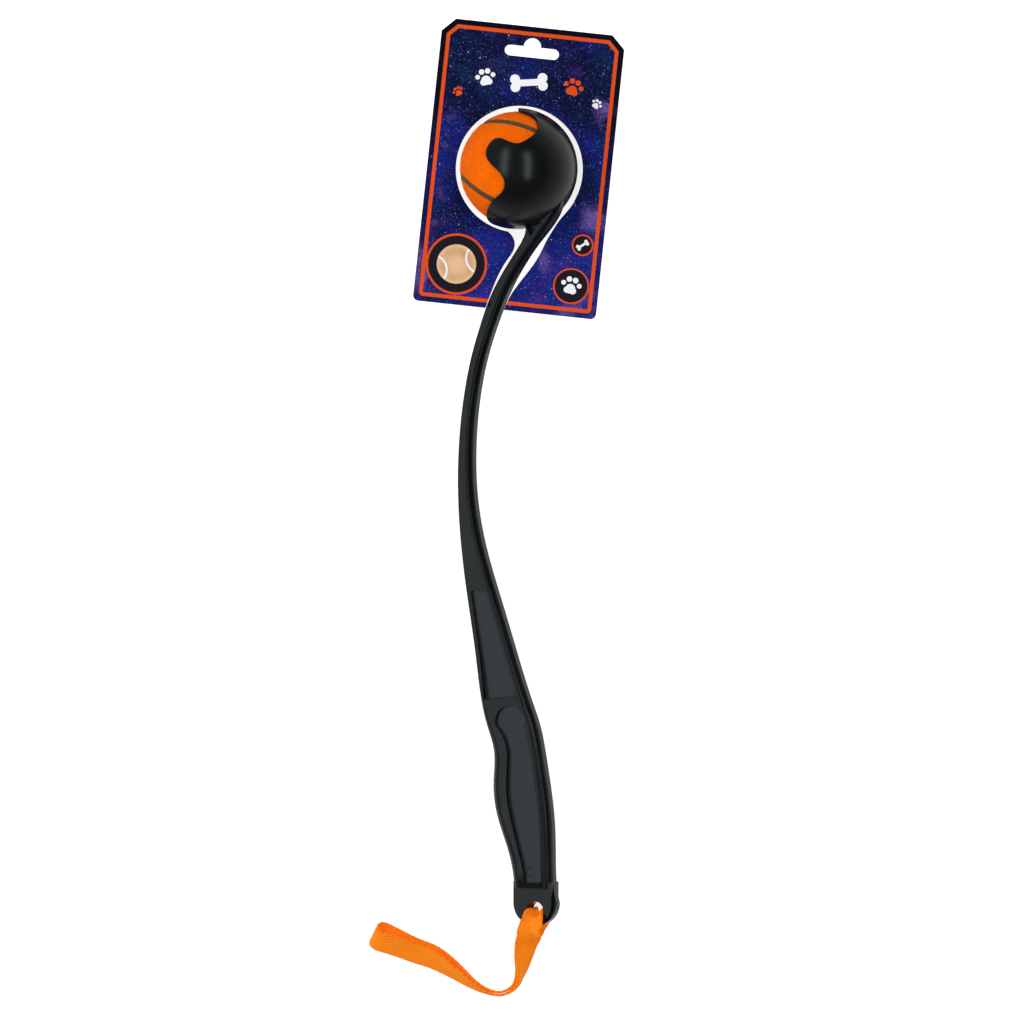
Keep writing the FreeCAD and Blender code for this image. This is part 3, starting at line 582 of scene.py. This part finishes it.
# The sewing that closes the loop: the shares of the loop where its two rows lie, the stitches in a
# row, a stitch's stretch across, out of and along the webbing, and in millimetres its radius before
# that, the rows' distance from the edges, and how far the stitches stand out
SEWING_ROWS = (0.845, 0.885)
STITCHES = 10
STITCH_STRETCH = (1, 0.8, 4.5)
STITCH_RADIUS = 0.22
SEWING_INSET = 1.6
SEWING_RISE = 0.03


def strap_stations(thickness, width):
    """Middle of the webbing once round its loop: place, outer face and curl."""
    up = Vector((0, 0, 1))
    places = []
    for dx, dy, lean, gap, lift, _, _ in STRAP_LAY:
        angle = math.radians(lean)
        rise = (width / 2 * abs(math.sin(angle)) + (gap * MM + thickness) / 2 * math.cos(angle)
                + (FLOOR_GAP + lift) * MM)
        places.append(Vector((HOLE.x + dx * MM, HOLE.y + dy * MM, rise)))
    legs = []
    for side in (1, -1):
        leg = []
        for out, drop, turn, upper_roll, lower_roll, curl, upper_shift, lower_shift in NEAR_HOLE:
            angle = math.radians(turn)
            roll = upper_roll if side > 0 else lower_roll
            inward = ALONG * math.cos(math.radians(roll)) + BACK * math.sin(math.radians(roll))
            face = inward * math.cos(angle) + ACROSS * (side * math.sin(angle))
            shift = upper_shift if side > 0 else lower_shift
            centre = HOLE + ACROSS * (side * out * MM) - inward * (drop * MM) - BACK * (shift * MM)
            leg.append((centre, face, curl))
        for index, (_, _, lean, gap, _, curl, aside) in enumerate(STRAP_LAY):
            after = places[min(index + 1, len(places) - 1)]
            heading = (after - places[max(index - 1, 0)]).normalized()
            flat = Vector((-heading.y, heading.x, 0)).normalized()
            angle = math.radians(lean)
            face = up * math.cos(angle) + flat * math.sin(angle)
            face = (face - heading * face.dot(heading)).normalized()
            centre = places[index] + face * (side * gap / 2 * MM)
            if side < 0:
                centre += face.cross(heading) * (aside * MM)
            leg.append((centre, face * side, curl))
        radius = STRAP_LAY[-1][3] / 2 * MM
        for turn in FOLD_TURNS:
            angle = math.radians(turn)
            outer = heading * math.sin(angle) + face * (side * math.cos(angle))
            leg.append((places[-1] + outer * radius, outer, 0.0))
        legs.append(leg)
    return legs[0] + legs[1][-2:0:-1]


def strap_rows(settings, spacing=1.1 * MM, steps=10):
    """Even rows along a smooth closed curve: place, width direction, outer face and curl."""
    stations = strap_stations(settings.thickness, settings.width)
    points = np.array([[*centre, *outer, curl / MM] for centre, outer, curl in stations])
    count = len(points)
    dense = []
    for index in range(count):
        before, start, end, after = (points[(index + shift) % count] for shift in (-1, 0, 1, 2))
        span = np.linalg.norm(end[:3] - start[:3])
        slope_in = (end - before) * span / (np.linalg.norm(start[:3] - before[:3]) + span)
        slope_out = (after - start) * span / (np.linalg.norm(after[:3] - end[:3]) + span)
        for step in range(steps):
            t = step / steps
            dense.append(start * (2 * t ** 3 - 3 * t ** 2 + 1)
                         + slope_in * (t ** 3 - 2 * t ** 2 + t)
                         + end * (3 * t ** 2 - 2 * t ** 3)
                         + slope_out * (t ** 3 - t ** 2))
    dense = np.array(dense + dense[:1])
    run = np.concatenate([[0], np.cumsum(np.linalg.norm(np.diff(dense[:, :3], axis=0), axis=1))])
    count = round(run[-1] / spacing)
    marks = np.arange(count) * run[-1] / count
    even = np.stack([np.interp(marks, run, column) for column in dense.T], axis=1)
    centre, outer, curl = even[:, :3], even[:, 3:6], even[:, 6:]
    ahead = unit(np.roll(centre, -1, axis=0) - np.roll(centre, 1, axis=0))
    outer = unit(outer - ahead * (outer * ahead).sum(axis=1)[:, None])
    return np.hstack([centre, np.cross(outer, ahead), outer, curl]), marks, run[-1]


def strap_point(row, across):
    """A point of the webbing's middle layer and its outward direction."""
    centre, wide, outer, curl = row[:3], row[3:6], row[6:9], row[9]
    turn = curl * across
    place = (centre + wide * across * np.sinc(turn / math.pi)
             + outer * across * turn / 2 * np.sinc(turn / 2 / math.pi) ** 2)
    return place, outer * math.cos(turn) - wide * math.sin(turn)


def webbing_loop(settings, rows, marks, finish):
    """The webbing as one closed loop with its width and length as texture places."""
    corners = []
    for row, along in zip(rows, marks):
        for column in range(STRAP_COLUMNS + 1):
            share = column / STRAP_COLUMNS * 2 - 1
            waves = math.sin(along / MM * 2.1) + math.sin(along / MM * 1.3 + 1.0 + share)
            across = share * (settings.width / 2 - EDGE_INSET * MM + waves * EDGE_WAVER * MM)
            corners.append(strap_point(row, across)[0])
    count = len(rows)
    width = STRAP_COLUMNS + 1
    faces = []
    places = []
    for index in range(count):
        following = (index + 1) % count
        for column in range(STRAP_COLUMNS):
            faces.append((index * width + column, following * width + column,
                          following * width + column + 1, index * width + column + 1))
            left, right = column / STRAP_COLUMNS, (column + 1) / STRAP_COLUMNS
            places += [(left, index / count), (left, (index + 1) / count),
                       (right, (index + 1) / count), (right, index / count)]
    piece = new_piece("strap_webbing", corners, faces, finish)
    weave = piece.data.uv_layers.new(name="weave")
    weave.data.foreach_set("uv", [value for place in places for value in place])
    piece.data.polygons.foreach_set("use_smooth", [True] * len(faces))
    choose(piece)
    body = piece.modifiers.new("thickness", "SOLIDIFY")
    body.thickness = settings.thickness
    body.offset = 0
    bpy.ops.object.modifier_apply(modifier=body.name)
    soft = piece.modifiers.new("selvedge", "SUBSURF")
    soft.levels = 1
    soft.render_levels = 1
    bpy.ops.object.modifier_apply(modifier=soft.name)
    piece.select_set(False)
    return piece


def twill(settings, length):
    """Herringbone twill: ridges that slant away from the middle of the webbing."""
    # Its Emission Strength makes the webbing glow: painted light
    finish = Finish("orange_twill", Specular_IOR_Level=0.08, Sheen_Weight=0.06,
                    Sheen_Roughness=0.5, Sheen_Tint=(1.0, 0.5, 0.2, 1), Emission_Strength=0.30)
    weave = finish.node("ShaderNodeUVMap", {"uv_map": "weave"})
    across = finish.dot(weave, (settings.width / MM, 0, 0))
    along = finish.dot(weave, (0, length / MM, 0))
    middle = abs(across - settings.width / MM / 2)
    ridge = ((middle + along * RIDGE_SLANT) / RIDGE_PITCH).wave()
    yarn = (along / YARN_ALONG - middle / YARN_ACROSS).wave()
    lint = finish.noise(0.5, detail=4)
    cloud = finish.noise(14, detail=3)
    selvedge = middle.rise(settings.width / MM / 2 - 1.2, settings.width / MM / 2 - 0.8)
    height = (ridge * 0.7 + yarn * 0.3) * (1 - selvedge * 0.5) + lint * 0.25
    # Painted light and shade: darker in the furrows and lighter on the ridges, following the bump's
    # height, with a cloudy random tone
    light = height.rise(0.15, 0.85) * 0.75 + cloud * 0.25
    colour = finish.mix(light, tuple(settings.shaded), tuple(settings.colour))
    # The webbing glows a little in its own colour: painted light that makes it brighter
    finish.surface(Base_Color=colour, Emission_Color=colour, Roughness=lint * 0.15 + 0.72,
                   Normal=finish.bump(height, 0.30, 1.0))
    return finish


def strap_thread(settings, rows, finish):
    """Two rows of short stitches that close the loop, on the leg that lies underneath."""
    choose()
    bpy.ops.mesh.primitive_uv_sphere_add(segments=8, ring_count=6, radius=STITCH_RADIUS * MM)
    stitch = bpy.context.active_object
    stitch.scale = STITCH_STRETCH
    bpy.ops.object.transform_apply(scale=True)
    stitch.data.materials.append(finish.material)
    copies = []
    for share in SEWING_ROWS:
        index = round(share * len(rows))
        ahead = Vector(rows[index + 1][:3] - rows[index][:3]).normalized()
        for column in range(STITCHES):
            across = (column / (STITCHES - 1) * 2 - 1) * (settings.width / 2 - SEWING_INSET * MM)
            place, outer = strap_point(rows[index], across)
            up = Vector(outer)
            copy = stitch.copy()
            copy.data = stitch.data.copy()
            bpy.context.scene.collection.objects.link(copy)
            side = ahead.cross(up).normalized()
            turn = Matrix((side, up, ahead)).transposed().to_4x4()
            copy.matrix_world = Matrix.Translation(
                Vector(place) + up * (settings.thickness / 2 + SEWING_RISE * MM)) @ turn
            copies.append(copy)
    bpy.data.objects.remove(stitch)
    choose(*copies)
    bpy.ops.object.join()
    bpy.ops.object.transform_apply(location=True, rotation=True, scale=True)
    piece = bpy.context.active_object
    piece.name = "strap_stitching"
    bpy.ops.object.shade_smooth()
    piece.select_set(False)
    return piece


class BALLLAUNCHER_OT_strap(bpy.types.Operator):
    """Lay the webbing of the wrist strap through the tab's hole and over the table, and sew it"""

    bl_idname = "balllauncher.strap"
    bl_label = "Wrist strap"

    def execute(self, context):
        settings = context.scene.launcher_strap
        rows, marks, length = strap_rows(settings)
        webbing = webbing_loop(settings, rows, marks, twill(settings, length))
        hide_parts("wrist_strap")
        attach(webbing, "strap")
        thread = Finish("strap_thread", Specular_IOR_Level=0.3)
        twist = thread.noise(0.3, detail=3)
        thread.surface(Base_Color=thread.mix(twist.rise(0.3, 0.7), (0.70, 0.12, 0.003),
                                             (1.0, 0.26, 0.02)),
                       Roughness=twist * 0.2 + 0.6, Normal=thread.bump(twist, 0.05, 0.6))
        stitching = strap_thread(settings, rows, thread)
        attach(stitching, "strap")
        return {"FINISHED"}


# Hang card

# Half the soft edge of a printed shape, and the middle of the printed ball, in millimetres
INK_EDGE = 0.09
PRINTED_BALL = (-28.0, -56.5)


def turned(x, y, degrees):
    """A step on the card's plane, turned anticlockwise."""
    cos, sin = math.cos(math.radians(degrees)), math.sin(math.radians(degrees))
    return x * cos - y * sin, x * sin + y * cos


class Print:
    """The card's ink, drawn on the card's own plane in millimetres from the ball's centre."""

    def __init__(self, finish):
        self.finish = finish
        cos, sin = math.cos(CARD_TURN), math.sin(CARD_TURN)
        centred = finish.node("ShaderNodeVectorMath", {"operation": "SUBTRACT"},
                              {0: finish.place, 1: (BALL.x, BALL.y, 0)})
        self.x = finish.dot(centred, (cos / MM, -sin / MM, 0))
        self.y = finish.dot(centred, (sin / MM, cos / MM, 0))
        self.plane = finish.node("ShaderNodeCombineXYZ", None, {0: self.x, 1: self.y})
        self.plane_metres = finish.node("ShaderNodeVectorMath", {"operation": "SCALE"},
                                        {0: self.plane, "Scale": MM})

    def disc(self, x, y, radius):
        """How far inside a disc a place is."""
        away = self.finish.node("ShaderNodeVectorMath", {"operation": "DISTANCE"},
                                {0: self.plane, 1: (x, y, 0)}, output="Value")
        return radius - away

    def bar(self, x, y, half_length, half_width, degrees):
        """How far inside a turned bar a place is."""
        cos, sin = math.cos(math.radians(degrees)), math.sin(math.radians(degrees))
        ahead = abs(self.finish.dot(self.plane, (cos, sin, 0)) - (x * cos + y * sin))
        aside = abs(self.finish.dot(self.plane, (-sin, cos, 0)) - (y * cos - x * sin))
        return (half_length - ahead).least(half_width - aside)

    def ring(self, x, y, radius, width):
        return width / 2 - abs(self.disc(x, y, radius))

    def paw(self, x, y, size, degrees):
        def pad(dx, dy, radius):
            aside, ahead = turned(dx, dy, degrees)
            return self.disc(x + size * aside, y + size * ahead, size * radius)

        shape = pad(0, -0.28, 0.40).most(pad(-0.25, -0.42, 0.27)).most(pad(0.25, -0.42, 0.27))
        for dx, dy, radius in ((-0.66, 0.10, 0.20), (-0.26, 0.48, 0.23), (0.26, 0.48, 0.23),
                               (0.66, 0.10, 0.20)):
            shape = shape.most(pad(dx, dy, radius))
        return shape

    def bone(self, x, y, size, degrees):
        shape = self.bar(x, y, size * 0.62, size * 0.17, degrees)
        for end in (-0.70, 0.70):
            for side in (-0.20, 0.20):
                dx, dy = turned(end * size, side * size, degrees)
                shape = shape.most(self.disc(x + dx, y + dy, size * 0.25))
        return shape

    def ink(self, colour, shape, tint):
        """Lay a tint over the colour where a shape is, with a clean printed edge."""
        return self.finish.mix(shape.rise(-INK_EDGE, INK_EDGE), colour, tint)


def starry_print(settings, finish, drawing):
    """Deep blue sky with violet clouds and stars, a border line, paws, bones, a ball and discs."""
    across, up = drawing.x - CARD_MIDDLE[0], drawing.y - CARD_MIDDLE[1]
    sky = finish.noise(30, detail=6)
    veil = finish.noise(17, detail=5)
    glow = finish.noise(52, detail=4)
    grain = finish.noise(1.3, detail=5)
    # The sky is brighter towards the foot and the right
    bright = (across * 0.5 - up).rise(-90, 90)
    blue = (sky * 0.8 + bright * 0.25).rise(0.40, 0.68)
    colour = finish.mix(blue, tuple(settings.night), (0.006, 0.018, 0.23))
    colour = finish.mix((1 - veil.rise(0.30, 0.50)) * 0.45, colour, (0.002, 0.026, 0.075))
    colour = finish.mix((veil * 0.8 + bright * 0.14).rise(0.48, 0.70) * 0.62, colour,
                        tuple(settings.haze))
    colour = finish.mix(glow.rise(0.56, 0.74) * 0.40, colour, (0.070, 0.008, 0.19))
    colour = finish.mix((veil * glow * 4 + bright * 0.2).rise(1.25, 1.80) * 0.55, colour,
                        (0.26, 0.16, 0.52))
    colour = finish.mix((1 - grain.rise(0.34, 0.50)) * 0.62, colour, (0.0008, 0.0018, 0.022))
    colour = finish.mix(grain.rise(0.54, 0.72) * 0.26, colour, (0.055, 0.075, 0.62))
    for spacing, radius, rarity, tint in ((0.75, 0.33, 7.0, (0.36, 0.46, 1.0)),
                                          (2.4, 0.13, 2.2, (0.72, 0.78, 1.0)),
                                          (8.0, 0.06, 0.7, (0.95, 0.97, 1.0))):
        distance = finish.cells(spacing, drawing.plane_metres, "Distance")
        draws = finish.cells(spacing, drawing.plane_metres, "Color")
        choice = finish.node("ShaderNodeSeparateColor", None, {0: draws}, output="Red")
        star = (1 - distance.rise(radius * 0.3, radius)) * choice ** rarity
        colour = finish.mix(star, colour, tint)
    edge = (CARD_HALF[0] - abs(across)).least(CARD_HALF[1] - abs(up))
    corner = (CARD_HALF[0] + CARD_HALF[1] - CARD_CHAMFER - abs(across) - up) * math.sqrt(0.5)
    past_side = (abs(across) - (CARD_HALF[0] - FOOT_ROUND)).most(0)
    past_foot = (CARD_FOOT_LINE - up).most(0)
    foot = FOOT_ROUND - (past_side * past_side + past_foot * past_foot) ** 0.5
    edge = edge.least(corner).least(foot)
    inset = settings.line_inset / MM
    width = settings.line_width / MM
    # The sky outside the border line is darker, and most so at the top
    margin_shade = up.rise(-60, 70) * 0.55 + 0.40
    colour = finish.mix((inset - edge).rise(-0.1, 0.1) * margin_shade, colour,
                        (0.0008, 0.0010, 0.007))
    colour = drawing.ink(colour, width / 2 - abs(edge - (inset + width / 2)), tuple(settings.line))
    white = (0.88, 0.90, 0.94)
    orange = tuple(settings.line)
    dark = (0.010, 0.009, 0.016)
    cream = (0.80, 0.52, 0.30)
    # Row of a bone between paws under the hanging slot
    colour = drawing.ink(colour, drawing.bone(1.5, 49.0, 11.0, 9.0), white)
    colour = drawing.ink(colour, drawing.paw(-23.0, 49.5, 6.6, 16.0), white)
    colour = drawing.ink(colour, drawing.paw(26.5, 49.0, 6.6, -14.0), orange)
    colour = drawing.ink(colour, drawing.paw(-37.5, 40.0, 3.6, 32.0), orange)
    colour = drawing.ink(colour, drawing.paw(40.5, 41.0, 3.6, -30.0), white)
    # Large ball with two seams, in a dark disc with a ring in the lower corner
    ball_x, ball_y = PRINTED_BALL
    colour = drawing.ink(colour, drawing.disc(ball_x, ball_y, 16.5), dark)
    colour = drawing.ink(colour, drawing.ring(ball_x, ball_y, 16.5, 1.3), orange)
    ball = drawing.disc(ball_x, ball_y, 11.0)
    colour = drawing.ink(colour, ball, cream)
    mottling = finish.noise(7, detail=3)
    colour = finish.mix((ball.rise(0, 3.0) - ball.rise(3.0, 9.0)).most(0) * mottling * 0.8
                        * ball.rise(0, 0.1), colour, (0.42, 0.17, 0.06))
    for dx in (-13.5, 13.5):
        seam = drawing.ring(ball_x + dx, ball_y + dx * 0.35, 8.5, 1.1).least(ball - 0.2)
        colour = drawing.ink(colour, seam, white)
    # Discs with a paw and a bone down the other side
    for x, y, radius in ((41.0, -38.5, 5.6), (37.0, -62.0, 9.6)):
        colour = drawing.ink(colour, drawing.disc(x, y, radius), dark)
        colour = drawing.ink(colour, drawing.ring(x, y, radius, 0.9), orange)
    colour = drawing.ink(colour, drawing.bone(41.0, -38.5, 3.9, 38.0), white)
    colour = drawing.ink(colour, drawing.paw(37.0, -61.6, 6.8, -8.0), white)
    return colour


def card_finish(settings):
    finish = Finish("printed_card", Specular_IOR_Level=0.04)
    drawing = Print(finish)
    through = finish.dot(finish.place, CARD_NORMAL) - CARD_BACK
    front = through.rise(CARD_THICK * 0.90, CARD_THICK * 0.97)
    pulp = finish.noise(0.7, detail=5)
    fibre = finish.noise(3.5, detail=4)
    board = finish.mix(pulp.rise(0.35, 0.65) * 0.5 + fibre * 0.3, tuple(settings.board),
                       tuple(channel * 0.72 for channel in settings.board))
    colour = finish.mix(front, board, starry_print(settings, finish, drawing))
    orange_peel = finish.noise(5.0, detail=2)
    finish.surface(Base_Color=colour, Roughness=front * -0.42 + 0.82 + orange_peel * 0.06,
                   Normal=finish.bump(pulp * (1 - front * 0.85) + orange_peel * 0.4, 0.04, 0.5))
    return finish


class BALLLAUNCHER_OT_card(bpy.types.Operator):
    """Print the hang card's front and leave the bare board on its back and edges"""

    bl_idname = "balllauncher.card"
    bl_label = "Hang card"

    def execute(self, context):
        give("hang_card", card_finish(context.scene.launcher_card))
        return {"FINISHED"}


# Stage

# The picture's width at the height of the ball's centre and its middle, and the sensor's width in
# millimetres
FRAME_WIDTH = 0.57193
FRAME_CENTRE = (0.00759, -0.00251)
SENSOR = 36.0

# The table's depth below the part, and how bright the camera sees its white
FLOOR_DROP = 0.05 * MM
TABLE_WHITE = 0.70

# Between these heights of the view round the room, the walls' brightness turns into the ceiling's
CEILING_RISE = (0.12, 0.62)

# Name, place, size and share of the power, all aimed at one point
SOFTBOX_AIM = BALL * 0.5
SOFTBOXES = [
    ("left_softbox", (-0.72, 0.56, 1.66), (0.34, 1.6), 1.0),
    ("right_softbox", (0.63, 0.34, 1.68), (0.34, 1.6), 1.0),
    ("side_softbox", (-1.46, -0.36, 1.08), (1.1, 0.9), 0.68),
]


def seen(finish):
    """1 for what the camera sees, straight or in a gloss or through glass."""
    rays = [finish.node("ShaderNodeLightPath", output=word)
            for word in ("Is Camera Ray", "Is Glossy Ray", "Is Transmission Ray")]
    return rays[0].most(rays[1]).most(rays[2])


def softbox(name, place, size, power):
    bpy.ops.object.light_add(type="AREA", location=place)
    lamp = bpy.context.active_object
    lamp.name = name
    lamp.data.shape = "RECTANGLE"
    lamp.data.size, lamp.data.size_y = size
    lamp.data.energy = power
    back = (Vector(place) - SOFTBOX_AIM).normalized()
    aside = Vector((0, 1, 0)).cross(back).normalized()
    lamp.matrix_world = Matrix.Translation(place) @ Matrix(
        (aside, back.cross(aside), back)).transposed().to_4x4()


class BALLLAUNCHER_OT_stage(bpy.types.Operator):
    """Set up the pale table, the room light, the softboxes and the camera above"""

    bl_idname = "balllauncher.stage"
    bl_label = "Stage"

    def execute(self, context):
        settings = context.scene.launcher_stage
        choose()
        bpy.ops.mesh.primitive_plane_add(size=40.0, location=(0, 0, -FLOOR_DROP))
        floor = context.active_object
        floor.name = "floor"
        paper = Finish("white_table", Roughness=0.9, Specular_IOR_Level=0.1, Emission_Strength=1.0)
        fibre = paper.noise(40, detail=3)
        paper.surface(Base_Color=paper.mix(fibre, (0.80, 0.80, 0.80), (0.83, 0.83, 0.83)),
                      Emission_Color=paper.mix(seen(paper), (0, 0, 0), (TABLE_WHITE,) * 3))
        floor.data.materials.append(paper.material)

        world = bpy.data.worlds.new("room")
        context.scene.world = world
        world.use_nodes = True
        room = Nodes(world.node_tree)
        height = room.dot(room.node("ShaderNodeTexCoord", output="Generated"), (0, 0, 1))
        ceiling = height.rise(*CEILING_RISE)
        room.feed(room.nodes["Background"].inputs["Strength"],
                  settings.walls - ceiling * (settings.walls - settings.ceiling))
        room.nodes["Background"].inputs["Color"].default_value = (1, 1, 1, 1)

        for name, place, size, share in SOFTBOXES:
            softbox(name, place, size, settings.lamp * share)

        bpy.ops.object.camera_add(location=(*FRAME_CENTRE, settings.distance), rotation=(0, 0, 0))
        camera = context.active_object
        camera.data.sensor_width = SENSOR
        camera.data.lens = SENSOR * (settings.distance - BALL.z) / FRAME_WIDTH
        camera.data.clip_end = 4 * settings.distance
        context.scene.camera = camera
        context.scene.view_settings.view_transform = "Standard"
        return {"FINISHED"}


OPERATORS = (BALLLAUNCHER_OT_moulding, BALLLAUNCHER_OT_ball, BALLLAUNCHER_OT_strap,
             BALLLAUNCHER_OT_card, BALLLAUNCHER_OT_stage)
SETTINGS = {
    "launcher_plastic": PlasticSettings,
    "launcher_ball": BallSettings,
    "launcher_strap": StrapSettings,
    "launcher_card": CardSettings,
    "launcher_stage": StageSettings,
}


class BALLLAUNCHER_PT_panel(bpy.types.Panel):
    """Sizes and colours of the launcher, with a button for each of its pieces"""

    bl_label = "Ball Launcher"
    bl_idname = "BALLLAUNCHER_PT_panel"
    bl_space_type = "VIEW_3D"
    bl_region_type = "UI"
    bl_category = "Ball Launcher"

    def draw(self, context):
        for (name, group), operator in zip(SETTINGS.items(), OPERATORS):
            box = self.layout.box()
            for word in group.__annotations__:
                box.prop(getattr(context.scene, name), word)
            box.operator(operator.bl_idname)


CLASSES = (*SETTINGS.values(), *OPERATORS, BALLLAUNCHER_PT_panel)


def register():
    for item in CLASSES:
        bpy.utils.register_class(item)
    for name, group in SETTINGS.items():
        setattr(bpy.types.Scene, name, PointerProperty(type=group))


def unregister():
    for name in SETTINGS:
        delattr(bpy.types.Scene, name)
    for item in reversed(CLASSES):
        bpy.utils.unregister_class(item)


def main():
    register()
    bpy.ops.balllauncher.moulding()
    bpy.ops.balllauncher.ball()
    bpy.ops.balllauncher.strap()
    bpy.ops.balllauncher.card()
    bpy.ops.balllauncher.stage()


if __name__ == "__main__":
    main()
